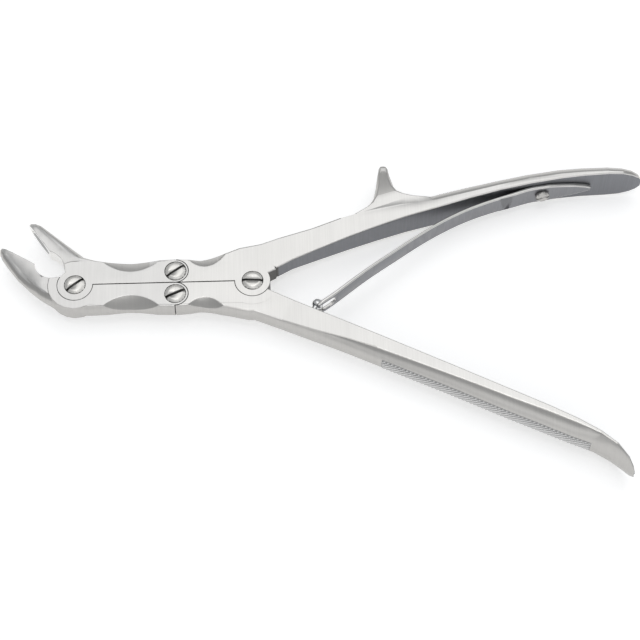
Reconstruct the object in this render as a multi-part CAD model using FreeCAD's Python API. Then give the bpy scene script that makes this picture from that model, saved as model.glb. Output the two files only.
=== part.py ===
import FreeCAD, Part
import math
import os

# Bone rongeur with a compound linkage: two jaws, two handles, four pivots and a leaf spring.
# X runs from the jaws to the handles, Y towards the upper handle, Z up through the thickness.
# The origin is the rear pivot axis at the flat back face of the joint. All sizes are in mm.

Vec = FreeCAD.Vector

# Joint block
JOINT_T = 7.0
MID = JOINT_T / 2
LAP_GAP = 0.04
PARTING_GAP = 0.15
SIDE_STEP = 0.06
PIVOT_SPACING = 61.2
LINK_BACK = 26.6
LINK_APART = 9.0
FRONT_PIVOT = (-PIVOT_SPACING, 0.0)
REAR_PIVOT = (0.0, 0.0)
UPPER_LINK = (-LINK_BACK, LINK_APART / 2)
LOWER_LINK = (-LINK_BACK, -LINK_APART / 2)
LINK_FACE_GAP = 0.15
MAIN_EYE_R = 6.1
MAIN_EYE_CLEARANCE = 0.14
LINK_EYE_R = LINK_APART / 2 - PARTING_GAP
LINK_EYE_CLEARANCE = 0.2
BOSS_R = 9.4
BOSS_START_ANGLE = 58.0
LOFT_STEP = 8.0

# Pivot screws
HEAD_R = 3.6
HEAD_SEAT_DEPTH = 1.5
HEAD_CLEARANCE = 0.1
HEAD_RIM_DROP = 0.05
DOME_HEIGHT = 0.5
DOME_FLAT_R = 2.4
SHANK_R = 2.1
SHANK_CLEARANCE = 0.05
OPEN_PIVOT_CLEARANCE = 0.12
THREAD_R = 1.8
THREAD_CLEARANCE = 0.02
AXIAL_CLEARANCE = 0.05
SLOT_WIDTH = 0.8
LOWER_LINK_SLOT_WIDTH = 1.0
SLOT_DEPTH = 0.9
SLOT_TURN = {"front": 38.2, "rear": -3.1, "upper": 35.0, "lower": 23.5}

# Jaws: each bite face is a straight line out of the front pivot
JAW_LENGTH = 31.4
UPPER_BITE_ANGLE = 123.75
LOWER_BITE_ANGLE = 147.25
BITE_GAP = 0.06
CUP_CENTRE = 23.6
CUP_HALF_LENGTH = 6.3
CUP_RADIUS = 2.15
CUP_LIFT = 0.25
CUP_CUTS = 5
WINDOW_CENTRE = 11.75
WINDOW_HALF = 5.15
UPPER_WINDOW_DEPTH = 1.6
LOWER_WINDOW_DEPTH = 2.6

# Ground hollows on the outer edges at the joint
HOLLOW_TILT = 62.0
JAW_HOLLOW_R = 25.6
JAW_HOLLOW_X = -42.0
JAW_HOLLOW_Y = 4.6
HANDLE_HOLLOW_R = 12.0
HANDLE_HOLLOW_X = -16.5
HANDLE_HOLLOW_Y = 6.0

# Handles, measured from the rear pivot
HANDLE_LENGTH = 144.4
END_ROUND = 12.0
END_FLAT = 0.3
LOWER_FACE_SLOPE = -0.528
LOWER_FACE_DROP = 0.65

# The outlines are drawn for the lengths written here and are stretched to the named ones
HANDLE_SCALE = HANDLE_LENGTH / 144.4
JOINT_SCALE = PIVOT_SPACING / 61.2
JAW_SCALE = JAW_LENGTH / 31.4

# Finger spur on the upper handle, as half widths at its root and at its top
SPUR_ROOT_Y = 30.0
SPUR_ROOT_HALF = 4.2
SPUR_TOP_Y = 47.0
SPUR_TOP_HALF = 2.2

# Leaf spring and its fixings
LEAF_WIDTH = 8.8
LEAF_TIP_WIDTH = 7.2
LEAF_SCREW_X = 103.1 * HANDLE_SCALE
ROOT_T = 1.5
ROOT_GAP = 0.04
FORK_SLOT = 3.8
FORK_END_X = 26.6 * HANDLE_SCALE
SPRING_HEAD_R = 2.5
SPRING_HEAD_H = 1.5
SPRING_SCREW_R = 1.5
BALL_R = 2.0 * HANDLE_SCALE
NECK_R = 1.15
STUD_FOOT_X = 20.48 * HANDLE_SCALE
BALL_HEIGHT = 3.69 * HANDLE_SCALE
BALL_CUTS = 5
STUD_DEPTH = 5.0


def sized(scale, rows):
    """The same rows with every number scaled."""
    if isinstance(rows, (list, tuple)):
        return type(rows)(sized(scale, row) for row in rows)
    return rows * scale


def at(pivot, z=0.0):
    return Vec(pivot[0], pivot[1], z)


def outward(solid):
    """Turn a solid right side out when its outline ran the other way round."""
    if solid.Volume < 0:
        solid.reverse()
    return solid


def cylinder(pivot, radius, z_low, z_high):
    return Part.makeCylinder(radius, z_high - z_low, at(pivot, z_low))


def prism(points, z_low, z_high):
    corners = [Vec(x, y, z_low) for x, y in points]
    face = Part.Face(Part.makePolygon(corners + [corners[0]]))
    return outward(face.extrude(Vec(0, 0, z_high - z_low)))


def arc_points(centre, radius, start, end, count=10):
    step = (end - start) / (count - 1)
    turns = [math.radians(start + step * i) for i in range(count)]
    return [(centre[0] + radius * math.cos(t), centre[1] + radius * math.sin(t)) for t in turns]


def blend_table(table, x):
    for (x0, y0), (x1, y1) in zip(table, table[1:]):
        if x <= x1:
            return y0 + (y1 - y0) * max(0.0, (x - x0) / (x1 - x0))
    return table[-1][1]


def crowned_section(inner, outer, width, crown):
    """Flat inner line, two flat sides and a crowned outer face, centred on the joint's mid plane."""
    inner = Vec(inner[0], inner[1], 0)
    outer = Vec(outer[0], outer[1], 0)
    depth = (outer - inner).Length
    way = (outer - inner).normalize()
    shoulder = inner + way * (depth - min(crown, 0.75 * depth))
    low = Vec(0, 0, MID - width / 2)
    high = Vec(0, 0, MID + width / 2)
    edges = [
        Part.makeLine(inner + low, inner + high),
        Part.makeLine(inner + high, shoulder + high),
        Part.Arc(shoulder + high, outer + Vec(0, 0, MID), shoulder + low).toShape(),
        Part.makeLine(shoulder + low, inner + low),
    ]
    return Part.Wire(edges)


def smooth_rows(rows, step):
    """Extra rows between the given ones on a smooth curve, so that a loft through them can't swing out."""
    spans = [math.dist(a[:4], b[:4]) / 1.4 for a, b in zip(rows, rows[1:])]
    rates = [[(q - p) / span for p, q in zip(a, b)] for a, b, span in zip(rows, rows[1:], spans)]
    slopes = [rates[0]]
    for i in range(1, len(rates)):
        weight = spans[i] / (spans[i - 1] + spans[i])
        slopes.append([weight * p + (1 - weight) * q for p, q in zip(rates[i - 1], rates[i])])
    slopes.append(rates[-1])
    result = []
    for i, span in enumerate(spans):
        count = max(1, round(span / step))
        for k in range(count):
            t = k / count
            mix = (2 * t ** 3 - 3 * t ** 2 + 1, t ** 3 - 2 * t ** 2 + t, 3 * t ** 2 - 2 * t ** 3, t ** 3 - t ** 2)
            result.append([mix[0] * p + mix[1] * span * m + mix[2] * q + mix[3] * span * n
                           for p, m, q, n in zip(rows[i], slopes[i], rows[i + 1], slopes[i + 1])])
    return result + [list(rows[-1])]


def crowned_body(stations):
    rows = smooth_rows([(a[0], a[1], b[0], b[1], width, crown) for a, b, width, crown in stations], LOFT_STEP)
    sections = [crowned_section(row[0:2], row[2:4], row[4], row[5]) for row in rows]
    return outward(Part.makeLoft(sections, True, True))


def lap_eye(body, pivot, radius, clearance, owner_is_front):
    """Half-lap: remove the partner's half round the pivot and add this body's own half disc."""
    reach = radius + clearance
    if owner_is_front:
        body = body.cut(cylinder(pivot, reach, -3, MID + LAP_GAP / 2))
        return body.fuse(cylinder(pivot, radius, MID + LAP_GAP / 2, JOINT_T))
    body = body.cut(cylinder(pivot, reach, MID - LAP_GAP / 2, JOINT_T + 3))
    return body.fuse(cylinder(pivot, radius, 0, MID - LAP_GAP / 2))


def bore_front(body, pivot, clearance=SHANK_CLEARANCE):
    """Running bore and head seat in the half that turns on the screw."""
    seat = cylinder(pivot, HEAD_R + HEAD_CLEARANCE + clearance - SHANK_CLEARANCE,
                    JOINT_T - HEAD_SEAT_DEPTH, JOINT_T + 3)
    return body.cut(cylinder(pivot, SHANK_R + clearance, MID - 1, JOINT_T)).cut(seat)


def bore_back(body, pivot):
    """Threaded bore in the half that holds the screw."""
    return body.cut(cylinder(pivot, THREAD_R + THREAD_CLEARANCE, -1, MID + 1))


def hollow_cutter(x, radius, face_y, side, front):
    """Round cutter whose axis runs outwards and into the thickness, to grind a hollow in an outer edge."""
    up = 1 if front else -1
    tilt = math.radians(HOLLOW_TILT)
    deepest = Vec(x, side * face_y, JOINT_T if front else 0)
    axis = Vec(0, side * math.sin(tilt), -up * math.cos(tilt))
    square = Vec(0, side * math.cos(tilt), up * math.sin(tilt))
    return Part.makeCylinder(radius, 60, deepest + square * radius - axis * 30, axis)


def grind_hollows(body, x, radius, face_y, side):
    for front in (True, False):
        body = body.cut(hollow_cutter(x, radius, face_y, side, front))
    return body


def bite_point(turn, side, along, away):
    """Point at a distance along the bite face and a distance away from it, into the jaw."""
    t = math.radians(turn)
    u = (math.cos(t), math.sin(t))
    v = (u[1], -u[0]) if side > 0 else (-u[1], u[0])
    return (FRONT_PIVOT[0] + along * u[0] + away * v[0], FRONT_PIVOT[1] + along * u[1] + away * v[1])


def jaw_body(turn, side, bite_stations, elbow_stations, tail_stations, window_depth):
    stations = []
    for along, depth, width, crown in sized(JAW_SCALE, bite_stations):
        inner = bite_point(turn, side, along, BITE_GAP)
        outer = bite_point(turn, side, along, depth)
        stations.append((inner, outer, width, crown))
    for inner, outer, crown in sized(JOINT_SCALE, elbow_stations + tail_stations):
        place = [(FRONT_PIVOT[0] + p[0], p[1]) for p in (inner, outer)]
        stations.append((place[0], place[1], JOINT_T - 2 * SIDE_STEP, crown))
    link_x = UPPER_LINK[0] - LINK_FACE_GAP
    boss = arc_points(FRONT_PIVOT, BOSS_R, BOSS_START_ANGLE * side, turn if side > 0 else turn - 360)
    edge = sized(JOINT_SCALE, [(-26.6, 8.7 * side), (-42, 8.1 * side), (-49.6, 8.6 * side)])
    plate = prism([(link_x, 0), (link_x, edge[0][1])] + edge[1:] + boss + [FRONT_PIVOT], 0, JOINT_T)
    far = 2 * JAW_LENGTH
    keep = prism([bite_point(turn, side, 0, BITE_GAP), bite_point(turn, side, far, BITE_GAP),
                  bite_point(turn, side, far, far), (link_x, far * side), (link_x, PARTING_GAP * side),
                  (FRONT_PIVOT[0], PARTING_GAP * side)], -JOINT_T, 2 * JOINT_T)
    body = crowned_body(stations).fuse(plate).common(keep)
    body = grind_hollows(body, JAW_HOLLOW_X, JAW_HOLLOW_R, JAW_HOLLOW_Y, side)
    radius = (WINDOW_HALF ** 2 + window_depth ** 2) / (2 * window_depth)
    window = bite_point(turn, side, WINDOW_CENTRE, BITE_GAP + window_depth - radius)
    body = body.cut(cylinder(window, radius, -JOINT_T, 2 * JOINT_T))
    return body.cut(bite_cup(turn, side))


def bite_cup(turn, side):
    """Oblong bowl in the bite face, turned from a short run of straight cuts along an ellipse."""
    turns = [math.pi * i / CUP_CUTS for i in range(CUP_CUTS + 1)]
    bowl = [Vec(-CUP_HALF_LENGTH * math.cos(a), CUP_RADIUS * math.sin(a), 0) for a in turns]
    profile = Part.Face(Part.makePolygon(bowl + [bowl[0]]))
    cup = outward(profile.revolve(Vec(0, 0, 0), Vec(1, 0, 0), 360))
    cup.rotate(Vec(0, 0, 0), Vec(0, 0, 1), turn)
    cup.translate(at(bite_point(turn, side, CUP_CENTRE, BITE_GAP - CUP_LIFT), MID))
    return cup


def handle_plate(side, ends):
    """Flat-topped part of a handle: the tail towards the link and the boss round the rear pivot."""
    link_x = UPPER_LINK[0] + LINK_FACE_GAP
    start, end = ends
    boss = arc_points(REAR_PIVOT, BOSS_R, start, end, 13)
    edge = sized(JOINT_SCALE, [(-26.6, 8.7 * side), (-18, 8.4 * side)])
    points = [(link_x, PARTING_GAP * side), (link_x, edge[0][1]), edge[1]] + boss
    return prism(points + [(0, PARTING_GAP * side)], 0, JOINT_T)


def handle_width(x, y):
    """The handle widens with the distance from the rear pivot."""
    grown = sized(HANDLE_SCALE, [(35.0, 9.2), (50.0, 10.4), (70.0, 11.8), (95.0, 13.0), (145.0, 14.6)])
    flat = JOINT_T - 2 * SIDE_STEP
    return blend_table([(0.0, flat), (15.0 * HANDLE_SCALE, flat)] + grown, math.hypot(x, y))


def grip_stations(points, side):
    """Sections square to the inner face; the last stretch is rounded off to the end."""
    curve = Part.BSplineCurve()
    curve.interpolate([Vec(p[0], p[1], 0) for p in points])
    end = Vec(points[-1][0], points[-1][1], 0)
    stations = []
    for x, y, depth, crown in points:
        here = Vec(x, y, 0)
        run = curve.tangent(curve.parameter(here))[0]
        out = Vec(-run.y, run.x, 0) * side
        left = min(END_ROUND, (end - here).Length + END_FLAT)
        round_off = math.sqrt(1 - (1 - left / END_ROUND) ** 2)
        outer = here + out * depth
        stations.append(((x, y), (outer.x, outer.y), handle_width(x, y) * round_off, crown))
    return stations


def joint_stations(rows):
    width = JOINT_T - 2 * SIDE_STEP
    return [(inner, outer, width, crown) for inner, outer, crown in sized(JOINT_SCALE, rows)]


def upper_handle_solid():
    joint = [
        ((-26.5, 0.8), (-26.5, 10.1), 0.9),
        ((-18.0, 0.8), (-18.0, 9.6), 0.9),
        ((-8.0, 1.2), (-9.4, 12.0), 0.9),
        ((-0.6, 2.2), (-4.6, 14.0), 0.9),
    ]
    grip = [
        (9.0, 5.2, 12.0, 0.9), (14.0, 8.0, 10.8, 0.9), (24.0, 12.1, 9.4, 0.9), (34.0, 16.1, 9.2, 1.1),
        (44.0, 19.8, 8.8, 1.8), (54.0, 23.2, 8.3, 3.0), (66.0, 26.6, 7.3, 4.2), (77.0, 29.9, 6.8, 4.4),
        (88.0, 32.8, 6.4, 4.4), (99.0, 35.1, 6.4, 4.4), (110.0, 36.8, 6.3, 4.4), (118.0, 37.6, 6.0, 4.4),
        (127.0, 38.0, 5.6, 4.2), (132.0, 38.1, 5.1, 3.9), (135.5, 38.2, 4.3, 3.3), (137.7, 38.2, 3.2, 2.4),
        (139.0, 38.2, 1.8, 1.3),
    ]
    body = crowned_body(joint_stations(joint) + grip_stations(sized(HANDLE_SCALE, grip), 1))
    body = body.fuse(handle_plate(1, (120, 28)))
    below = sized(HANDLE_SCALE, [(4.0, 0.9), (6.2, 2.2), (12.0, -20.0)])
    body = body.cut(prism([(-LINK_BACK * 1.5, -LINK_BACK), (-LINK_BACK * 1.5, PARTING_GAP), (0, PARTING_GAP)] + below,
                          -JOINT_T, 2 * JOINT_T))
    body = grind_hollows(body, HANDLE_HOLLOW_X, HANDLE_HOLLOW_R, HANDLE_HOLLOW_Y, 1).fuse(finger_spur())
    body = lap_eye(body, UPPER_LINK, LINK_EYE_R, LINK_EYE_CLEARANCE, False)
    body = lap_eye(body, REAR_PIVOT, MAIN_EYE_R, MAIN_EYE_CLEARANCE, True)
    body = bore_back(bore_front(body, REAR_PIVOT), UPPER_LINK)
    place, out = spring_screw_frame()
    return body.cut(Part.makeCylinder(SPRING_SCREW_R + THREAD_CLEARANCE, 7, place - out * 2, out))


def rounded_section(left, right, half, corner):
    """Rounded rectangle that stands on the line from left to right and reaches half to each side in Z."""
    left = Vec(left[0], left[1], MID)
    right = Vec(right[0], right[1], MID)
    run = (right - left).normalize()
    up = Vec(0, 0, 1)
    bulge = corner * (1 - math.sqrt(0.5))
    edges = []
    corners = [(right, run, up), (left, up, run * -1), (left, run * -1, up * -1), (right, up * -1, run)]
    ends = []
    for foot, first, second in corners:
        along = run if foot == right else run * -1
        rise = first if first.z else second
        tip = foot + Vec(0, 0, rise.z * half)
        start = tip - rise * corner if first == along else tip - along * corner
        stop = tip - along * corner if first == along else tip - rise * corner
        middle = tip - (along + rise) * bulge
        ends.append((start, middle, stop))
    for i, (start, middle, stop) in enumerate(ends):
        edges.append(Part.Arc(start, middle, stop).toShape())
        edges.append(Part.makeLine(stop, ends[(i + 1) % 4][0]))
    return Part.Wire(edges)


def finger_spur():
    """Flattened spur that rises from the handle and narrows to a rounded top."""
    rungs = [
        ((35.4, 24.6), (60.5, 31.4), 1.2, 0.0), ((39.2, 27.6), (57.0, 32.8), 1.1, 0.0),
        ((41.5, 29.4), (54.2, 33.5), 1.0, 0.0), ((43.1, 32.2), (52.0, 34.8), 1.0, 0.0),
        ((44.1, 36.8), (50.5, 37.4), 0.95, 0.0), ((45.0, 42.8), (49.2, 42.8), 0.95, 0.0),
        ((45.5, 45.6), (48.8, 45.6), 0.95, 0.0), ((45.9, 46.6), (48.4, 46.6), 0.9, 0.3),
        ((46.5, 47.1), (47.9, 47.1), 0.6, 0.9),
    ]
    slope = (SPUR_ROOT_HALF - SPUR_TOP_HALF) / (SPUR_TOP_Y - SPUR_ROOT_Y)
    sections = []
    for left, right, corner, trim in sized(HANDLE_SCALE, rungs):
        middle = (left[1] + right[1]) / 2
        half = SPUR_ROOT_HALF - slope * (middle - SPUR_ROOT_Y)
        sections.append(rounded_section(left, right, half - trim, corner))
    return outward(Part.makeLoft(sections, True, True))


def lower_face(x):
    """Straight inner face of the lower handle."""
    return LOWER_FACE_SLOPE * x - LOWER_FACE_DROP * HANDLE_SCALE


def lower_handle_solid():
    joint = [
        ((-26.5, -0.8), (-26.5, -10.1), 0.9),
        ((-18.0, -0.8), (-18.0, -9.6), 0.9),
        ((-9.5, -0.9), (-9.0, -10.9), 0.9),
        ((-3.0, -1.8), (-1.6, -12.8), 0.9),
    ]
    grip = [(x, lower_face(x), depth, crown) for x, depth, crown in sized(HANDLE_SCALE, [
        (5.0, 10.6, 0.8), (14.0, 9.9, 0.9), (24.0, 9.2, 1.3), (34.0, 8.6, 2.4), (44.0, 8.2, 3.2), (54.0, 7.8, 3.4),
        (66.0, 7.3, 3.5), (77.0, 7.0, 3.8), (88.0, 6.8, 4.0), (98.0, 6.4, 4.3)])]
    end = [(107.0, -57.5, 5.8, 4.2), (114.0, -62.2, 4.3, 3.2), (119.0, -66.8, 3.0, 2.2),
           (122.3, -71.2, 2.0, 1.5), (123.6, -73.8, 1.3, 0.9), (124.2, -75.4, 0.7, 0.5)]
    body = crowned_body(joint_stations(joint) + grip_stations(grip + sized(HANDLE_SCALE, end), -1))
    body = body.fuse(handle_plate(-1, (-112, -40)))
    above = sized(HANDLE_SCALE, [(1.5, -0.6), (5.0, -3.29), (16.0, 20.0)])
    body = body.cut(prism([(-LINK_BACK * 1.5, LINK_BACK), (-LINK_BACK * 1.5, -PARTING_GAP), (0, -PARTING_GAP)] + above,
                          -JOINT_T, 2 * JOINT_T))
    body = grind_hollows(body, HANDLE_HOLLOW_X, HANDLE_HOLLOW_R, HANDLE_HOLLOW_Y, -1)
    body = lap_eye(body, LOWER_LINK, LINK_EYE_R, LINK_EYE_CLEARANCE, False)
    body = lap_eye(body, REAR_PIVOT, MAIN_EYE_R, MAIN_EYE_CLEARANCE, False)
    body = bore_back(bore_back(body, REAR_PIVOT), LOWER_LINK)
    foot, out = stud_frame()
    return body.cut(Part.makeCylinder(NECK_R + THREAD_CLEARANCE, STUD_DEPTH + 1.05, foot - out * (STUD_DEPTH + 0.05), out))


def upper_jaw_solid():
    bite = [(31.4, 0.9, 1.6, 0.3), (31.1, 1.7, 2.6, 0.6), (30.3, 2.7, 3.7, 1.1), (28.6, 3.7, 4.8, 1.9),
            (23.7, 5.0, 5.7, 2.8), (19.2, 6.2, 6.1, 3.0), (14.0, 7.6, 6.4, 3.1), (9.5, 8.8, 6.6, 2.6)]
    elbow = [((-3.0, 6.6), (3.0, 11.9), 1.9), ((2.0, 3.5), (7.4, 10.4), 1.4), ((8.0, 1.5), (11.6, 9.6), 1.2)]
    tail = [((18.2, 0.8), (19.2, 9.3), 1.0), ((30.0, 0.8), (30.0, 9.9), 0.9), ((34.5, 0.8), (34.5, 10.1), 0.9)]
    body = jaw_body(UPPER_BITE_ANGLE, 1, bite, elbow, tail, UPPER_WINDOW_DEPTH)
    body = lap_eye(body, FRONT_PIVOT, MAIN_EYE_R, MAIN_EYE_CLEARANCE, True)
    body = lap_eye(body, UPPER_LINK, LINK_EYE_R, LINK_EYE_CLEARANCE, True)
    return bore_front(bore_front(body, FRONT_PIVOT), UPPER_LINK, OPEN_PIVOT_CLEARANCE)


def lower_jaw_solid():
    bite = [(31.4, 0.9, 1.6, 0.3), (31.1, 1.6, 2.6, 0.6), (30.4, 2.4, 3.6, 1.0), (28.8, 3.5, 4.8, 1.8),
            (25.3, 5.1, 5.5, 2.7), (19.4, 7.4, 6.1, 3.0), (13.6, 8.8, 6.3, 3.1), (8.5, 9.6, 6.6, 2.6)]
    elbow = [((-5.0, 1.0), (-7.3, -6.9), 1.8), ((-3.0, -0.8), (-4.0, -8.3), 1.6), ((0.0, -1.2), (-0.1, -9.2), 1.4),
             ((4.5, -1.2), (4.5, -9.8), 1.3)]
    tail = [((12.1, -0.9), (12.1, -9.5), 1.1), ((19.2, -0.8), (19.2, -9.3), 1.0), ((30.0, -0.8), (30.0, -9.9), 0.9),
            ((34.5, -0.8), (34.5, -10.1), 0.9)]
    body = jaw_body(LOWER_BITE_ANGLE, -1, bite, elbow, tail, LOWER_WINDOW_DEPTH)
    body = lap_eye(body, FRONT_PIVOT, MAIN_EYE_R, MAIN_EYE_CLEARANCE, False)
    body = lap_eye(body, LOWER_LINK, LINK_EYE_R, LINK_EYE_CLEARANCE, True)
    return bore_front(bore_back(body, FRONT_PIVOT), LOWER_LINK)


def pivot_screw(pivot, slot_turn, slot_width):
    """Shoulder screw: thread, running shank and a slotted head with a bevelled rim, sunk into the front half."""
    shoulder = MID - LAP_GAP / 2 + AXIAL_CLEARANCE
    under_head = JOINT_T - HEAD_SEAT_DEPTH + AXIAL_CLEARANCE
    rim = JOINT_T - HEAD_RIM_DROP
    top = JOINT_T + DOME_HEIGHT
    side = [Vec(0, 0, 0), Vec(THREAD_R, 0, 0), Vec(THREAD_R, 0, shoulder), Vec(SHANK_R, 0, shoulder),
            Vec(SHANK_R, 0, under_head), Vec(HEAD_R, 0, under_head), Vec(HEAD_R, 0, rim),
            Vec(DOME_FLAT_R, 0, top), Vec(0, 0, top)]
    screw = outward(Part.Face(Part.makePolygon(side + [side[0]])).revolve(Vec(0, 0, 0), Vec(0, 0, 1), 360))
    slot = Part.makeBox(3 * HEAD_R, slot_width, 2 * SLOT_DEPTH, Vec(-1.5 * HEAD_R, -slot_width / 2, top - SLOT_DEPTH))
    slot.rotate(Vec(0, 0, 0), Vec(0, 0, 1), slot_turn)
    screw = screw.cut(slot)
    screw.translate(at(pivot))
    return screw


def root_line(x):
    """Inner face of the upper handle where the root of the leaf lies on it."""
    face = [(88.0, 32.8), (99.0, 35.1), (110.0, 36.8), (118.0, 37.6), (127.0, 38.0)]
    return blend_table(sized(HANDLE_SCALE, face), x)


def spring_screw_frame():
    """Where the spring screw enters the upper handle, and its direction into the handle."""
    here = Vec(LEAF_SCREW_X, root_line(LEAF_SCREW_X), MID)
    run = Vec(8.0, root_line(LEAF_SCREW_X + 4) - root_line(LEAF_SCREW_X - 4), 0).normalize()
    return here, Vec(-run.y, run.x, 0)


def leaf_spring_solid():
    centre = [(22.0, -10.1, 0.62), (24.7, -8.4, 0.62), (27.2, -6.6, 0.6), (33.2, -1.8, 0.55), (41.4, 4.6, 0.5),
              (49.6, 10.4, 0.48), (60.9, 18.2, 0.48), (69.2, 23.1, 0.5), (77.5, 27.1, 0.52), (83.0, 29.2, 0.55),
              (87.7, 30.8, 0.6), (93.1, 32.4, 0.68)]
    centre = sized(HANDLE_SCALE, centre)
    root = sized(HANDLE_SCALE, [(99.0, 34.15), (104.0, 35.0)])
    curve = Part.BSplineCurve()
    curve.interpolate([Vec(x, y, 0) for x, y, half in centre] + [Vec(x, y, 0) for x, y in root])
    near = []
    far = []
    for x, y, half in centre:
        here = Vec(x, y, 0)
        run = curve.tangent(curve.parameter(here))[0]
        out = Vec(-run.y, run.x, 0)
        near.append(here - out * half)
        far.append(here + out * half)
    for x in sized(HANDLE_SCALE, (99.5, 103.1, 106.5, 110.0, 114.0, 118.0, 121.7)):
        run = Vec(2.0, root_line(x + 1) - root_line(x - 1), 0).normalize()
        out = Vec(-run.y, run.x, 0)
        face = Vec(x, root_line(x), 0)
        far.append(face - out * ROOT_GAP)
        near.append(face - out * (ROOT_GAP + ROOT_T))
    edges = []
    for side in (near, far):
        line = Part.BSplineCurve()
        line.interpolate(side)
        edges.append(line.toShape())
    edges.append(Part.makeLine(near[0], far[0]))
    edges.append(Part.makeLine(near[-1], far[-1]))
    wire = Part.Wire(Part.__sortEdges__(edges))
    side_view = outward(Part.Face(wire).extrude(Vec(0, 0, 20)))
    side_view.translate(Vec(0, 0, MID - 10))
    leaf = side_view.common(leaf_plan())
    place, out = spring_screw_frame()
    return leaf.cut(Part.makeCylinder(SPRING_SCREW_R + SHANK_CLEARANCE, 8, place - out * 4, out))


def leaf_plan():
    """Seen square on: forked tip, straight sides and a rounded, tapered rear end."""
    tip = LEAF_TIP_WIDTH / 2
    half = LEAF_WIDTH / 2
    fork = FORK_SLOT / 2
    plan = [(20.0, fork), (22.4, tip - 0.5), (24.0, tip), (87.7, 4.1), (97.0, half), (106.0, half), (110.0, 3.6),
            (115.0, 2.8), (119.0, 1.6), (121.0, 0.7)]
    plan = [(x * HANDLE_SCALE, w) for x, w in plan]
    reach = HANDLE_LENGTH
    points = [Vec(x, -reach, MID + w) for x, w in plan] + [Vec(x, -reach, MID - w) for x, w in reversed(plan)]
    outline = outward(Part.Face(Part.makePolygon(points + [points[0]])).extrude(Vec(0, 2 * reach, 0)))
    slot = Part.makeBox(FORK_END_X, 2 * reach, FORK_SLOT, Vec(0, -reach, MID - fork))
    round_end = Part.makeCylinder(fork, 2 * reach, Vec(FORK_END_X, -reach, MID), Vec(0, 1, 0))
    return outline.cut(slot).cut(round_end)


def spring_screw_solid():
    place, out = spring_screw_frame()
    under = -(ROOT_GAP + ROOT_T + 0.02)
    top = under - SPRING_HEAD_H
    side = [Vec(0, 0, 3.6), Vec(SPRING_SCREW_R, 0, 3.6), Vec(SPRING_SCREW_R, 0, under), Vec(SPRING_HEAD_R, 0, under),
            Vec(SPRING_HEAD_R, 0, top + 0.5), Vec(SPRING_HEAD_R - 0.5, 0, top), Vec(0, 0, top)]
    screw = outward(Part.Face(Part.makePolygon(side + [side[0]])).revolve(Vec(0, 0, 0), Vec(0, 0, 1), 360))
    slot = Part.makeBox(8, 0.8, 2, Vec(-4, -0.4, top + 0.7 - 2))
    screw = screw.cut(slot)
    screw.Placement = FreeCAD.Placement(place, FreeCAD.Rotation(Vec(0, 0, 1), out))
    return screw


def stud_frame():
    """Foot of the ball stud on the inner face of the lower handle, and its direction away from it."""
    foot = Vec(STUD_FOOT_X, lower_face(STUD_FOOT_X), MID)
    return foot, Vec(-LOWER_FACE_SLOPE, 1, 0).normalize()


def ball_stud_solid():
    """Neck and ball in one piece, the ball turned in straight cuts."""
    foot, out = stud_frame()
    start = math.asin(NECK_R / BALL_R)
    turns = [start + (math.pi - start) * i / BALL_CUTS for i in range(BALL_CUTS + 1)]
    side = [Vec(0, 0, -STUD_DEPTH), Vec(NECK_R, 0, -STUD_DEPTH)]
    side += [Vec(BALL_R * math.sin(a), 0, BALL_HEIGHT - BALL_R * math.cos(a)) for a in turns[:-1]]
    side += [Vec(0, 0, BALL_HEIGHT + BALL_R)]
    stud = outward(Part.Face(Part.makePolygon(side + [side[0]])).revolve(Vec(0, 0, 0), Vec(0, 0, 1), 360))
    stud.Placement = FreeCAD.Placement(foot, FreeCAD.Rotation(Vec(0, 0, 1), out))
    return stud


def main():
    os.makedirs("parts", exist_ok=True)
    pieces = {
        "upper_jaw": upper_jaw_solid(),
        "lower_jaw": lower_jaw_solid(),
        "upper_handle": upper_handle_solid(),
        "lower_handle": lower_handle_solid(),
        "jaw_pivot_screw": pivot_screw(FRONT_PIVOT, SLOT_TURN["front"], SLOT_WIDTH),
        "handle_pivot_screw": pivot_screw(REAR_PIVOT, SLOT_TURN["rear"], SLOT_WIDTH),
        "upper_link_screw": pivot_screw(UPPER_LINK, SLOT_TURN["upper"], SLOT_WIDTH),
        "lower_link_screw": pivot_screw(LOWER_LINK, SLOT_TURN["lower"], LOWER_LINK_SLOT_WIDTH),
        "leaf_spring": leaf_spring_solid(),
        "spring_screw": spring_screw_solid(),
        "spring_ball_stud": ball_stud_solid(),
    }
    for name, shape in pieces.items():
        shape.exportStep("parts/" + name + ".step")
        box = shape.BoundBox
        print(name, "solids", len(shape.Solids), "valid", shape.isValid(), "volume", round(shape.Volume, 1),
              "box", [round(v, 2) for v in (box.XMin, box.XMax, box.YMin, box.YMax, box.ZMin, box.ZMax)])


main()
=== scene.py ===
import math

import bpy
from mathutils import Matrix, Vector


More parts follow.
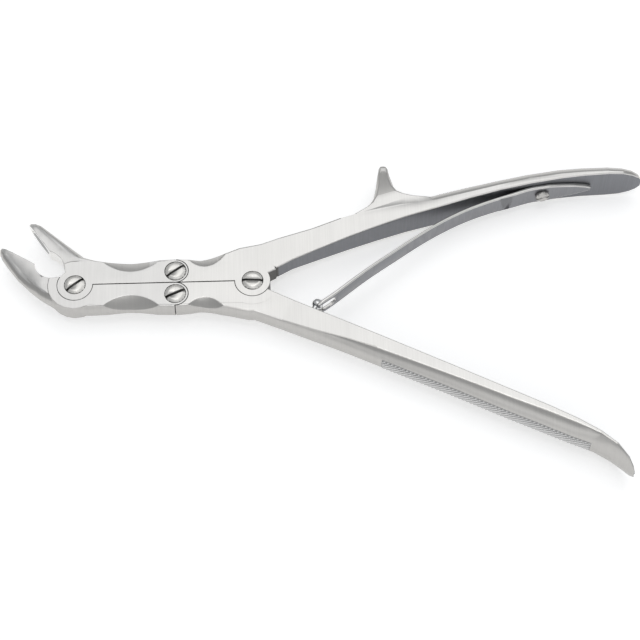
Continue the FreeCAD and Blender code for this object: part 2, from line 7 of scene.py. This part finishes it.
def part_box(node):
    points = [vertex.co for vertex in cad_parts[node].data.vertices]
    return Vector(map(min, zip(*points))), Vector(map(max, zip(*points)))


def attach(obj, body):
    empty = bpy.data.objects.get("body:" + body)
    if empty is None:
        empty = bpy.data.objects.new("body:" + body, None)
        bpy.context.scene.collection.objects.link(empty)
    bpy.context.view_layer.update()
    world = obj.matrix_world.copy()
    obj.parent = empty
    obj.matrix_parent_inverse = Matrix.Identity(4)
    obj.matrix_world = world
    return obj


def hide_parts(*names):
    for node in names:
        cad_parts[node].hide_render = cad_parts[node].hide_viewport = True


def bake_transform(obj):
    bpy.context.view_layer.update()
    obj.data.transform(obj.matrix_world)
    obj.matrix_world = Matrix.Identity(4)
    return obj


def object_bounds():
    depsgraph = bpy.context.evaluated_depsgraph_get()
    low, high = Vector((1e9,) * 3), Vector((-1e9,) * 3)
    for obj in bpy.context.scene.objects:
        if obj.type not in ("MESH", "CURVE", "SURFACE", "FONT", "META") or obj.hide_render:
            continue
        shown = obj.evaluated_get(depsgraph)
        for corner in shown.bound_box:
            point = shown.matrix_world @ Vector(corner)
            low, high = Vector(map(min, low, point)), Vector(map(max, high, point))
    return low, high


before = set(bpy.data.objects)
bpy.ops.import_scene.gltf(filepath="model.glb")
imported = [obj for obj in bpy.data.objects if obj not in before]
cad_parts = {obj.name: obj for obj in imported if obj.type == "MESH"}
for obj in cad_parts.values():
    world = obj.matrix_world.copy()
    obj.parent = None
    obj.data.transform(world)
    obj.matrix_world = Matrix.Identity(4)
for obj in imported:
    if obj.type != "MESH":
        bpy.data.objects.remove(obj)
cad_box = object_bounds()

# Jaws.
# Two forged stainless jaws with oblong cups hollowed in their bite faces. They are ground to shape
# and brushed, so that fine scratches run across the work, and half-lapped round the front pivot
# and again into the handles at the two link pivots.

# The four pivots are given by their centres and the outer radii of their eyes.
MM = 0.001
MID_PLANE = 3.5
FRONT_X = -61.2 * MM
REAR_X = 0.0
LINK_X = -26.6 * MM
LINK_Y = 4.5 * MM
END_EYE = 6.17 * MM
LINK_EYE = 4.45 * MM
PIVOTS = ((FRONT_X, 0.0, END_EYE), (REAR_X, 0.0, END_EYE),
          (LINK_X, LINK_Y, LINK_EYE), (LINK_X, -LINK_Y, LINK_EYE))

GRAIN_ALONG = 60.0
GRAIN_ACROSS = 2600.0
SCRATCH_LOW = 0.3
SCRATCH_HIGH = 0.7
SCRATCH_STRENGTH = 0.03
SCRATCH_HEIGHT = 0.02 * MM
CLOUD_SCALE = 90.0


def grain_group():
    """Fine parallel scratches that stretch along one direction of the piece."""
    group = bpy.data.node_groups.new("BrushedGrain", "ShaderNodeTree")
    for name in ("Along", "Across", "Tone", "Rough", "Rough Spread"):
        group.interface.new_socket(name=name, in_out="INPUT", socket_type="NodeSocketFloat")
    group.interface.new_socket(name="Tint", in_out="INPUT", socket_type="NodeSocketColor")
    group.interface.new_socket(name="Turn", in_out="INPUT", socket_type="NodeSocketVector")
    group.interface.new_socket(name="Color", in_out="OUTPUT", socket_type="NodeSocketColor")
    group.interface.new_socket(name="Roughness", in_out="OUTPUT", socket_type="NodeSocketFloat")
    group.interface.new_socket(name="Scratch", in_out="OUTPUT", socket_type="NodeSocketFloat")
    nodes, links = group.nodes, group.links
    take = nodes.new("NodeGroupInput")
    give = nodes.new("NodeGroupOutput")
    place = nodes.new("ShaderNodeTexCoord")
    mapping = nodes.new("ShaderNodeMapping")
    stretch = nodes.new("ShaderNodeCombineXYZ")
    scratches = nodes.new("ShaderNodeTexNoise")
    scratches.inputs["Scale"].default_value = 1.0
    scratches.inputs["Detail"].default_value = 3.0
    clouds = nodes.new("ShaderNodeTexNoise")
    clouds.inputs["Scale"].default_value = CLOUD_SCALE
    clouds.inputs["Detail"].default_value = 2.0
    links.new(place.outputs["Object"], mapping.inputs["Vector"])
    links.new(take.outputs["Turn"], mapping.inputs["Rotation"])
    links.new(take.outputs["Across"], stretch.inputs["X"])
    links.new(take.outputs["Along"], stretch.inputs["Y"])
    links.new(take.outputs["Along"], stretch.inputs["Z"])
    links.new(stretch.outputs["Vector"], mapping.inputs["Scale"])
    links.new(mapping.outputs["Vector"], scratches.inputs["Vector"])
    links.new(place.outputs["Object"], clouds.inputs["Vector"])
    shade = nodes.new("ShaderNodeMapRange")
    shade.inputs["From Min"].default_value = SCRATCH_LOW
    shade.inputs["From Max"].default_value = SCRATCH_HIGH
    shade.inputs["To Max"].default_value = 1.0
    links.new(scratches.outputs["Fac"], shade.inputs["Value"])
    dark = nodes.new("ShaderNodeMath")
    dark.operation = "SUBTRACT"
    dark.inputs[0].default_value = 1.0
    links.new(take.outputs["Tone"], dark.inputs[1])
    links.new(dark.outputs["Value"], shade.inputs["To Min"])
    tinted = nodes.new("ShaderNodeVectorMath")
    tinted.operation = "SCALE"
    links.new(take.outputs["Tint"], tinted.inputs[0])
    links.new(shade.outputs["Result"], tinted.inputs["Scale"])
    links.new(tinted.outputs["Vector"], give.inputs["Color"])
    spread = nodes.new("ShaderNodeMath")
    spread.operation = "MULTIPLY_ADD"
    links.new(clouds.outputs["Fac"], spread.inputs[0])
    links.new(take.outputs["Rough Spread"], spread.inputs[1])
    links.new(take.outputs["Rough"], spread.inputs[2])
    links.new(spread.outputs["Value"], give.inputs["Roughness"])
    links.new(scratches.outputs["Fac"], give.inputs["Scratch"])
    return group


brushed_grain = grain_group()


def steel(name, tint, rough, spread, tone, turn=0.0, across=GRAIN_ACROSS):
    """Metal with brushed grain, whose scratches are turned by an angle about the vertical."""
    material = bpy.data.materials.new(name)
    material.use_nodes = True
    nodes, links = material.node_tree.nodes, material.node_tree.links
    shader = nodes["Principled BSDF"]
    shader.inputs["Metallic"].default_value = 1.0
    grain = nodes.new("ShaderNodeGroup")
    grain.node_tree = brushed_grain
    grain.inputs["Tint"].default_value = (*tint, 1)
    grain.inputs["Rough"].default_value = rough
    grain.inputs["Rough Spread"].default_value = spread
    grain.inputs["Tone"].default_value = tone
    grain.inputs["Turn"].default_value = (0, 0, turn)
    grain.inputs["Along"].default_value = GRAIN_ALONG
    grain.inputs["Across"].default_value = across
    bump = nodes.new("ShaderNodeBump")
    bump.inputs["Strength"].default_value = SCRATCH_STRENGTH
    bump.inputs["Distance"].default_value = SCRATCH_HEIGHT
    links.new(grain.outputs["Color"], shader.inputs["Base Color"])
    links.new(grain.outputs["Roughness"], shader.inputs["Roughness"])
    links.new(grain.outputs["Scratch"], bump.inputs["Height"])
    links.new(bump.outputs["Normal"], shader.inputs["Normal"])
    return material


EYE_REACH = 0.8 * MM
PARTING_REACH = 0.6 * MM
JOINT_RIM = 0.1 * MM
STEP_HEIGHT = 0.08 * MM
WALL_TILT = 0.3


def near_joint(place):
    """True close to the eyes and the parting lines, where the rims are left nearly sharp."""
    close = any(math.hypot(place.x - x, place.y - y) < eye + EYE_REACH for x, y, eye in PIVOTS)
    parting = abs(place.y) < PARTING_REACH and FRONT_X < place.x < REAR_X
    halves = abs(place.x - LINK_X) < PARTING_REACH
    return close or parting or halves


def round_rims(piece, rim, left_sharp=None):
    """Round the selected rims, those of the joint less than the others."""
    weights = piece.data.attributes.new("bevel_weight_edge", "FLOAT", "EDGE")
    points = piece.data.vertices
    low_steps = set()
    for face in piece.data.polygons:
        heights = [points[v].co.z for v in face.vertices]
        if abs(face.normal.z) < WALL_TILT and max(heights) - min(heights) < STEP_HEIGHT:
            low_steps.update(face.edge_keys)
    for edge in piece.data.edges:
        if edge.select and edge.key not in low_steps:
            middle = (points[edge.vertices[0]].co + points[edge.vertices[1]].co) / 2
            if not (left_sharp and left_sharp(middle)):
                weights.data[edge.index].value = JOINT_RIM / rim if near_joint(middle) else 1.0
    rims = piece.modifiers.new("RoundedRims", "BEVEL")
    rims.limit_method = "WEIGHT"
    rims.width = rim
    rims.segments = 2
    rims.use_clamp_overlap = False
    bpy.ops.object.modifier_apply(modifier=rims.name)


HOLLOW_ANGLE = math.radians(25)
HOLLOW_STEEPEST = 0.2
HOLLOW_FLATTEST = 0.97


def smooth_hollows(piece):
    """Shade the ground hollows smooth without touching the flat faces beside them."""
    slanted = {}
    for face in piece.data.polygons:
        if HOLLOW_STEEPEST < abs(face.normal.z) < HOLLOW_FLATTEST:
            for key in face.edge_keys:
                slanted.setdefault(key, []).append(face.normal.copy())
    for edge in piece.data.edges:
        sides = slanted.get(edge.key, [])
        if len(sides) == 2 and sides[0].angle(sides[1]) < HOLLOW_ANGLE:
            edge.use_edge_sharp = False


MERGE_REACH = 0.002 * MM
FLAT_ANGLE = math.radians(0.4)
RIM_ANGLE = math.radians(26)


def finished_copy(node, body, material, angle=12, rim=0.0, reshape=None, left_sharp=None):
    """Merged copy of a solid that stands for it, with rounded rims and smoothly shaded curves."""
    bpy.ops.object.select_all(action="DESELECT")
    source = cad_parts[node]
    piece = source.copy()
    piece.data = source.data.copy()
    piece.name = node + "_finished"
    piece.parent = None
    for key in list(piece.keys()):
        if key.startswith("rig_"):
            del piece[key]
    bpy.context.scene.collection.objects.link(piece)
    piece.data.materials.clear()
    piece.data.materials.append(material)
    bpy.context.view_layer.objects.active = piece
    piece.select_set(True)
    bpy.ops.object.mode_set(mode="EDIT")
    bpy.ops.mesh.select_all(action="SELECT")
    bpy.ops.mesh.remove_doubles(threshold=MERGE_REACH)
    bpy.ops.mesh.normals_make_consistent(inside=False)
    if reshape:
        bpy.ops.object.mode_set(mode="OBJECT")
        reshape(piece)
        bpy.ops.object.mode_set(mode="EDIT")
        bpy.ops.mesh.select_all(action="SELECT")
    if rim:
        bpy.ops.mesh.dissolve_limited(angle_limit=FLAT_ANGLE)
        bpy.ops.mesh.select_all(action="DESELECT")
        bpy.ops.mesh.select_mode(type="EDGE")
        bpy.ops.mesh.edges_select_sharp(sharpness=RIM_ANGLE)
    bpy.ops.object.mode_set(mode="OBJECT")
    if rim:
        round_rims(piece, rim, left_sharp)
    bpy.ops.object.shade_smooth_by_angle(angle=math.radians(angle))
    if rim:
        smooth_hollows(piece)
    piece.select_set(False)
    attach(piece, body)
    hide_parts(node)
    return piece


TIP_CUTS = 10
CUT_ALONG = 1.9
CUT_OUTWARD = 0.85
TIP_CURVE = 0.05
TIP_FADE = 6.0
TIP_NARROWEST = 1.0


def round_tip(piece, outward, along, bite, first, wide, narrowing):
    """Curve the front and the back of a jaw's tip down from its bite to its outer side."""
    bpy.ops.object.mode_set(mode="EDIT")
    for cut in range(1, TIP_CUTS + 1):
        for reach, way in ((first + CUT_ALONG * cut, along), (bite + CUT_OUTWARD * cut, outward)):
            bpy.ops.mesh.select_all(action="SELECT")
            bpy.ops.mesh.bisect(plane_co=way * reach * MM, plane_no=way)
    bpy.ops.object.mode_set(mode="OBJECT")
    for point in piece.data.vertices:
        reach = point.co.dot(along) / MM - first
        if reach > 0:
            width = max(TIP_NARROWEST, wide - narrowing * reach)
            across = min(1.0, max(0.0, (point.co.dot(outward) / MM - bite) / width))
            thinner = 1 - TIP_CURVE * width * across ** 2 * min(1.0, reach / TIP_FADE)
            point.co.z = (MID_PLANE + (point.co.z / MM - MID_PLANE) * thinner) * MM


SEAT_RADIUS = 3.7 * MM
SEAT_REACH = 0.25 * MM
PARTING_WALL = 0.3 * MM
STEEPEST_SLOPE = 0.5
FACING = 0.9


# Mask for painted shade: these walls between the parts are painted dark where shade falls.
def in_joint(centre, normal):
    """True for the walls inside the screw seats, round the eyes and along the parting lines."""
    if abs(normal.z) > STEEPEST_SLOPE:
        return False
    for x, y, eye in PIVOTS:
        away = Vector((centre.x - x, centre.y - y, 0))
        radial = abs(away.normalized().dot(normal)) > FACING
        if radial and min(abs(away.length - eye), abs(away.length - SEAT_RADIUS)) < SEAT_REACH:
            return True
    parting = abs(centre.y) < PARTING_WALL and FRONT_X < centre.x < REAR_X
    halves = abs(centre.x - LINK_X) < PARTING_WALL and abs(normal.x) > FACING
    return parting or halves


def refinish(piece, material, chosen):
    """Give the chosen faces of a piece another finish."""
    piece.data.materials.append(material)
    place = len(piece.data.materials) - 1
    for face in piece.data.polygons:
        if chosen(face.center, face.normal):
            face.material_index = place


JAW_RIM = 0.15 * MM
BITE_END = -66.0 * MM
OUTER_SIDE = 0.05
OUTER_TILT = 0.9
BITE_SIDE = -0.2

# Each tip, in millimetres: its way outwards and its way along, where its bite lies and where the
# curve starts on those two, and how wide the jaw is there and how fast it narrows.
JAW_TIPS = {
    "upper_jaw": {"outward": Vector((0.831, 0.556, 0)), "along": Vector((-0.556, 0.831, 0)),
                  "bite": -50.7, "first": 44.0, "wide": 5.1, "narrowing": 0.178},
    "lower_jaw": {"outward": Vector((-0.541, -0.841, 0)), "along": Vector((-0.841, 0.541, 0)),
                  "bite": 33.3, "first": 62.0, "wide": 8.0, "narrowing": 0.384},
}

jaw_steel = steel("JawSteel", (0.66, 0.65, 0.635), rough=0.3, spread=0.12, tone=0.06, turn=0.5)
# Darker steel, a painted shade: outward-curved sides are painted darker because they turn away from the
# light.
painted_shade_steel = steel("PaintedShadeSteel", (0.52, 0.508, 0.49), rough=0.28, spread=0.1, tone=0.06, turn=0.2)
# The bite faces are polished (lower roughness), and their lighter tint is a painted highlight for the
# bright reflections along the bite.
bite_painted_highlight_steel = steel("BitePaintedHighlightSteel", (0.84, 0.83, 0.81), rough=0.16, spread=0.08, tone=0.05)
# Near-black steel, a painted shade for the walls in the joints, slots and throat.
joint_painted_shade_steel = steel("JointPaintedShadeSteel", (0.13, 0.127, 0.122), rough=0.42, spread=0.1, tone=0.05)

for jaw, tip in JAW_TIPS.items():
    outward = tip["outward"]
    piece = finished_copy(jaw, jaw, jaw_steel, rim=JAW_RIM,
                          reshape=lambda piece: round_tip(piece, **tip))
    # The outward-curved sides of the jaw get the darker painted shade.
    refinish(piece, painted_shade_steel,
             lambda centre, normal: normal.dot(outward) > OUTER_SIDE and abs(normal.z) < OUTER_TILT)
    # The bite faces near the tip get the painted highlight.
    refinish(piece, bite_painted_highlight_steel,
             lambda centre, normal: normal.dot(outward) < BITE_SIDE and centre.x < BITE_END)
    # The walls inside the joint are painted dark as shade.
    refinish(piece, joint_painted_shade_steel, in_joint)

# Handles.
# Long forged handles, flat inside and crowned outside, that widen towards rounded ends and cross at
# the rear pivot. The upper one has the finger spur, which runs into its flat faces.

HANDLE_RIM = 0.35 * MM
SPUR_RIM = 0.8 * MM
SPUR_RIM_ANGLE = math.radians(40)
SPUR_FOOT_RISE = 0.215
SPUR_BLANK = 5.0 * MM

# Left and right ends of the foot's rungs, from the handle up: x, y and half the thickness in millimetres.
SPUR_RUNGS = (
    ((34.5, 21.0, 4.78), (67.0, 27.8, 5.94)), ((36.0, 25.2, 4.88), (63.5, 31.0, 5.88)),
    ((40.0, 27.6, 5.07), (57.5, 31.9, 5.69)), ((41.9, 29.2, 5.16), (53.9, 33.0, 5.59)),
    ((43.5, 32.1, 4.95), (51.6, 34.4, 5.2)), ((44.5, 36.8, 4.2), (50.1, 37.3, 4.25)),
    ((45.4, 42.8, 2.88), (48.8, 42.8, 2.88)), ((45.8, 45.2, 2.3), (48.5, 45.2, 2.3)),
)


def swell_spur(piece):
    """Join a thicker foot to the spur, so that its faces run into the flat faces of the handle."""
    bpy.ops.object.select_all(action="DESELECT")
    rows = len(SPUR_RUNGS) - 1
    bpy.ops.mesh.primitive_grid_add(x_subdivisions=1, y_subdivisions=rows, size=1)
    foot = bpy.context.object
    for point in foot.data.vertices:
        left, right = SPUR_RUNGS[round((point.co.y + 0.5) * rows)]
        x, y, half = left if point.co.x < 0 else right
        point.co = Vector((x, y, MID_PLANE - half)) * MM
    bpy.ops.object.mode_set(mode="EDIT")
    bpy.ops.mesh.select_all(action="SELECT")
    bpy.ops.mesh.extrude_region_move(TRANSFORM_OT_translate={"value": (0, 0, SPUR_BLANK)})
    bpy.ops.object.mode_set(mode="OBJECT")
    for point in foot.data.vertices:
        if point.select:
            under = min(sum(SPUR_RUNGS, ()), key=lambda end: (point.co.xy / MM - Vector(end[:2])).length)
            point.co.z = (MID_PLANE + under[2]) * MM
    bpy.ops.object.mode_set(mode="EDIT")
    bpy.ops.mesh.select_all(action="SELECT")
    bpy.ops.mesh.normals_make_consistent(inside=False)
    bpy.ops.object.mode_set(mode="OBJECT")
    rims = foot.modifiers.new("RoundedRims", "BEVEL")
    rims.limit_method = "ANGLE"
    rims.angle_limit = SPUR_RIM_ANGLE
    rims.width = SPUR_RIM
    rims.segments = 3
    bpy.ops.object.modifier_apply(modifier=rims.name)
    foot.select_set(False)
    bpy.context.view_layer.objects.active = piece
    piece.select_set(True)
    joined = piece.modifiers.new("SpurFoot", "BOOLEAN")
    joined.operation = "UNION"
    joined.solver = "EXACT"
    joined.object = foot
    bpy.ops.object.modifier_apply(modifier=joined.name)
    bpy.data.objects.remove(foot)


def in_spur(place):
    """True on the swollen foot of the spur, whose own edges are already round."""
    (left, foot, _), (right, _, _) = SPUR_RUNGS[0]
    x, y = place.x / MM, place.y / MM
    return left < x < right and y > foot + (x - left) * SPUR_FOOT_RISE


BOSS_END = 8.0 * MM
PLATE_HALF = 3.42
CROWN_TILT = 0.985
INNER_FACE_START = 5.0 * MM
THROAT_END = 10.5 * MM
INNER_SIDE = 0.6
THROAT_SIDE = 0.3

handle_steel = steel("HandleSteel", (0.7, 0.688, 0.668), rough=0.3, spread=0.12, tone=0.06, turn=0.2)
# Dark steel for the inner flat faces, a painted shade for the shadowed floor they mirror.
inner_painted_shade_steel = steel("InnerFacePaintedShadeSteel", (0.23, 0.235, 0.25), rough=0.36, spread=0.1, tone=0.12, turn=0.2)
handles = {}
for handle, inward in (("upper_handle", -1), ("lower_handle", 1)):
    spurred = handle == "upper_handle"
    piece = finished_copy(handle, handle, handle_steel, rim=HANDLE_RIM,
                          reshape=swell_spur if spurred else None,
                          left_sharp=in_spur if spurred else None)
    # The outward crowned sides of the handle get the darker painted shade.
    refinish(piece, painted_shade_steel, lambda centre, normal: normal.y * inward < 0.0
             and abs(normal.z) < CROWN_TILT
             and not (centre.x < BOSS_END and abs(centre.z / MM - MID_PLANE) > PLATE_HALF))
    # The inner flat faces get the dark painted shade.
    refinish(piece, inner_painted_shade_steel, lambda centre, normal: centre.x > INNER_FACE_START
             and normal.y * inward > INNER_SIDE and abs(normal.z) < WALL_TILT)
    # The joint walls and the throat behind the rear eye are painted dark as shade.
    refinish(piece, joint_painted_shade_steel, in_joint)
    refinish(piece, joint_painted_shade_steel, lambda centre, normal: INNER_FACE_START < centre.x < THROAT_END
             and normal.y * inward > THROAT_SIDE and abs(normal.z) < WALL_TILT)
    handles[handle] = piece

# Knurled grips.
# A strip of fine diamond knurling is rolled along the middle of each crowned outer side, so that
# the wet handles don't slip. Its points are rubbed bright by wear, and its valleys are painted
# darker as shade.

KNURL_PITCH = 0.7 * MM
KNURL_HEIGHT = 0.3 * MM
KNURL_WIDTH = 5.6 * MM
KNURL_BASE = 0.25 * MM
KNURL_CLEAR = 0.03 * MM
KNURL_LIFT = 4 * MM
VALLEY_PAINTED_SHADE = 0.42
LOWER_GRIP = ((43.0 * MM, -32.5 * MM), (110.5 * MM, -65.5 * MM))
UPPER_GRIP = ((66.0 * MM, 34.4 * MM), (122.0 * MM, 43.9 * MM))


def knurl_strip(handle, start, end, outward):
    """Grid laid on the crown; every second crossing is raised to a point."""
    bpy.ops.object.select_all(action="DESELECT")
    first = Vector((*start, MID_PLANE * MM))
    last = Vector((*end, MID_PLANE * MM))
    length = (last - first).length
    along = (last - first).normalized()
    up = Vector((-along.y, along.x, 0)) * outward
    columns = 2 * round(length / KNURL_PITCH / 2)
    rows = 2 * round(KNURL_WIDTH / KNURL_PITCH / 2)
    bpy.ops.mesh.primitive_grid_add(x_subdivisions=columns, y_subdivisions=rows, size=1)
    strip = bpy.context.object
    strip.name = handle + "_knurl"
    turned = Matrix((along, up.cross(along), up)).transposed().to_4x4()
    centred = Matrix.Translation((first + last) / 2 + up * KNURL_LIFT)
    strip.matrix_world = centred @ turned @ Matrix.Diagonal((length, KNURL_WIDTH, 1, 1))
    wrap = strip.modifiers.new("LaidOnCurve", "SHRINKWRAP")
    wrap.target = handles[handle]
    wrap.wrap_method = "PROJECT"
    wrap.use_project_z = True
    wrap.use_negative_direction = True
    wrap.use_positive_direction = True
    wrap.offset = KNURL_CLEAR
    bpy.ops.object.modifier_apply(modifier=wrap.name)
    places = [(round((point.co.x + 0.5) * columns), round((point.co.y + 0.5) * rows))
              for point in strip.data.vertices]
    bpy.ops.object.transform_apply(location=True, rotation=True, scale=True)
    # Raised points are marked 1 for their bright wear; the valleys left at 0 are painted darker as shade.
    wear_and_shade = strip.data.attributes.new("worn_points_shaded_valleys", "FLOAT", "POINT")
    for point, (column, row) in zip(strip.data.vertices, places):
        inside = 0 < column < columns and 0 < row < rows
        if inside and (column + row) % 2 == 0:
            point.co += up * KNURL_HEIGHT
            wear_and_shade.data[point.index].value = 1.0
    pad = strip.modifiers.new("KnurlBase", "SOLIDIFY")
    pad.thickness = KNURL_BASE
    pad.offset = -1
    bpy.ops.object.modifier_apply(modifier=pad.name)
    strip.data.materials.append(knurl_steel)
    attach(strip, handle)
    strip.select_set(False)


knurl_steel = steel("KnurlSteel", (0.74, 0.735, 0.73), rough=0.22, spread=0.1, tone=0.1)
nodes, links = knurl_steel.node_tree.nodes, knurl_steel.node_tree.links
shader = nodes["Principled BSDF"]
points = nodes.new("ShaderNodeAttribute")
points.attribute_name = "worn_points_shaded_valleys"
# The valleys are painted darker as shade; the raised points keep the bright tone of wear.
valleys = nodes.new("ShaderNodeMapRange")
valleys.inputs["To Min"].default_value = VALLEY_PAINTED_SHADE
valleys.inputs["To Max"].default_value = 1.0
links.new(points.outputs["Fac"], valleys.inputs["Value"])
wear_and_shade_tone = nodes.new("ShaderNodeVectorMath")
wear_and_shade_tone.operation = "SCALE"
links.new(shader.inputs["Base Color"].links[0].from_socket, wear_and_shade_tone.inputs[0])
links.new(valleys.outputs["Result"], wear_and_shade_tone.inputs["Scale"])
links.new(wear_and_shade_tone.outputs["Vector"], shader.inputs["Base Color"])
knurl_strip("lower_handle", *LOWER_GRIP, outward=-1)
knurl_strip("upper_handle", *UPPER_GRIP, outward=1)

# Pivot screws.
# Turned steel shoulder screws that hold the four eyes together. Their slotted, slightly domed heads
# are sunk into the front face, and their slots are painted dark as shade.

HEAD_EDGE = 3.45 * MM
HEAD_SHOULDER = 6.2 * MM
SLOT_FLOOR = 6.8 * MM


def in_slot(centre, normal):
    """True for the two walls and the floor of a head's slot."""
    near = min(math.hypot(centre.x - x, centre.y - y) for x, y, eye in PIVOTS)
    wall = abs(normal.z) < WALL_TILT and near < HEAD_EDGE
    floor_of_slot = normal.z > FACING and centre.z < SLOT_FLOOR
    return centre.z > HEAD_SHOULDER and (wall or floor_of_slot)


screw_steel = steel("ScrewSteel", (0.74, 0.725, 0.695), rough=0.34, spread=0.08, tone=0.06, across=1500.0)
for screw, body in (("jaw_pivot_screw", "lower_jaw"), ("handle_pivot_screw", "lower_handle"),
                    ("upper_link_screw", "upper_handle"), ("lower_link_screw", "lower_handle")):
    piece = finished_copy(screw, body, screw_steel, angle=40)
    # The walls and floor of the slot are painted dark as shade.
    refinish(piece, joint_painted_shade_steel, in_slot)

# Spring screw and ball stud.
# A short slotted screw clamps the root of the leaf to the upper handle. A polished ball on a short
# neck is pressed into the lower handle, for the forked end of the leaf to ride on.

polished_steel = steel("PolishedSteel", (0.72, 0.72, 0.72), rough=0.14, spread=0.05, tone=0.03)
# The spring screw, half hidden under the leaf, takes the same darker painted-shade steel.
finished_copy("spring_screw", "upper_handle", painted_shade_steel, angle=40)
finished_copy("spring_ball_stud", "lower_handle", polished_steel, angle=60)

# Leaf spring.
# One strip of spring steel, ground thinner towards its forked tip. The root is screwed to the
# upper handle and the fork rides on the ball stud, and on the real tool the strip bends as the handles
# close. Here it is only cut across into many short lengths; nothing bends it.

LEAF_RIM = 0.4 * MM
LEAF_CUTS = 60

# The leaf's wide faces get a dark painted shade; its upward edges keep the plain lit steel tone.
leaf_painted_shade_steel = steel("LeafPaintedShadeSteel", (0.26, 0.262, 0.275), rough=0.3, spread=0.1, tone=0.06, turn=0.6)
spring_edge = steel("SpringEdgeSteel", (0.7, 0.69, 0.67), rough=0.3, spread=0.1, tone=0.06)
leaf = finished_copy("leaf_spring", "upper_handle", leaf_painted_shade_steel, angle=35, rim=LEAF_RIM)
refinish(leaf, spring_edge, lambda centre, normal: abs(normal.z) > WALL_TILT)
leaf.parent = None
leaf_low, leaf_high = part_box("leaf_spring")
bpy.context.view_layer.objects.active = leaf
leaf.select_set(True)
bpy.ops.object.mode_set(mode="EDIT")
for cut in range(1, LEAF_CUTS):
    x = leaf_low.x + (leaf_high.x - leaf_low.x) * cut / LEAF_CUTS
    bpy.ops.mesh.select_all(action="SELECT")
    bpy.ops.mesh.bisect(plane_co=(x, 0, 0), plane_no=(1, 0, 0))
bpy.ops.object.mode_set(mode="OBJECT")
leaf.select_set(False)
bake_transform(leaf)

# Floor, lights and camera.
# A plain white table under large soft lamps, seen from the photograph's viewing angle. The table
# glows only for the camera and for what the steel mirrors, so that no more light falls on the steel.

FLOOR_SIZE = 6
FLOOR_DROP = 0.0002
FLOOR_GLOW = 0.45

bpy.ops.object.select_all(action="DESELECT")
bpy.ops.mesh.primitive_plane_add(size=FLOOR_SIZE, location=(0, 0, cad_box[0][2] - FLOOR_DROP))
floor = bpy.context.object
floor.name = "Floor"
floor_white = bpy.data.materials.new("FloorWhite")
floor_white.use_nodes = True
nodes, links = floor_white.node_tree.nodes, floor_white.node_tree.links
shader = nodes["Principled BSDF"]
shader.inputs["Base Color"].default_value = (0.8, 0.8, 0.8, 1)
shader.inputs["Roughness"].default_value = 0.9
shader.inputs["Specular IOR Level"].default_value = 0.0
shader.inputs["Emission Color"].default_value = (1, 1, 1, 1)
rays = nodes.new("ShaderNodeLightPath")
seen = rays.outputs["Is Camera Ray"]
for ray in ("Is Glossy Ray", "Is Transmission Ray"):
    either = nodes.new("ShaderNodeMath")
    either.operation = "MAXIMUM"
    links.new(seen, either.inputs[0])
    links.new(rays.outputs[ray], either.inputs[1])
    seen = either.outputs["Value"]
glow = nodes.new("ShaderNodeMath")
glow.operation = "MULTIPLY"
glow.inputs[1].default_value = FLOOR_GLOW
links.new(seen, glow.inputs[0])
links.new(glow.outputs["Value"], shader.inputs["Emission Strength"])
floor.data.materials.append(floor_white)

world = bpy.data.worlds.new("Studio")
bpy.context.scene.world = world
world.use_nodes = True
background = world.node_tree.nodes["Background"]
background.inputs["Color"].default_value = (0.96, 0.98, 1.0, 1)
background.inputs["Strength"].default_value = 0.5

LAMP_AIM = Vector((0.02, -0.01, 0))


def lamp(name, place, size, power):
    """Large soft lamp turned towards the instrument."""
    light = bpy.data.lights.new(name, "AREA")
    light.shape = "RECTANGLE"
    light.size, light.size_y = size
    light.energy = power
    holder = bpy.data.objects.new(name, light)
    bpy.context.scene.collection.objects.link(holder)
    holder.location = place
    holder.rotation_euler = (Vector(place) - LAMP_AIM).to_track_quat("Z", "Y").to_euler()


lamp("BackLamp", (0.12, 0.46, 0.82), (1.1, 0.8), 2.3)
lamp("TopLamp", (0.0, -0.08, 0.95), (0.4, 0.3), 0.9)
lamp("FrontLamp", (0.05, -1.0, 0.4), (1.6, 0.6), 2.2)

CAMERA_ELEVATION = math.radians(61.0)
CAMERA_AZIMUTH = math.radians(-1.66)
CAMERA_DISTANCE = 0.6496
CAMERA_TARGET = Vector((0.0230, -0.0097, -0.0050))

camera_data = bpy.data.cameras.new("PhotoCamera")
camera_data.lens = 105
camera_data.sensor_width = 36
camera_data.clip_start = 0.01
camera = bpy.data.objects.new("PhotoCamera", camera_data)
bpy.context.scene.collection.objects.link(camera)
back = Vector((math.sin(CAMERA_AZIMUTH) * math.cos(CAMERA_ELEVATION),
               -math.cos(CAMERA_AZIMUTH) * math.cos(CAMERA_ELEVATION), math.sin(CAMERA_ELEVATION)))
camera.location = CAMERA_TARGET + back * CAMERA_DISTANCE
camera.rotation_euler = back.to_track_quat("Z", "Y").to_euler()
bpy.context.scene.camera = camera
bpy.context.scene.view_settings.view_transform = "Standard"
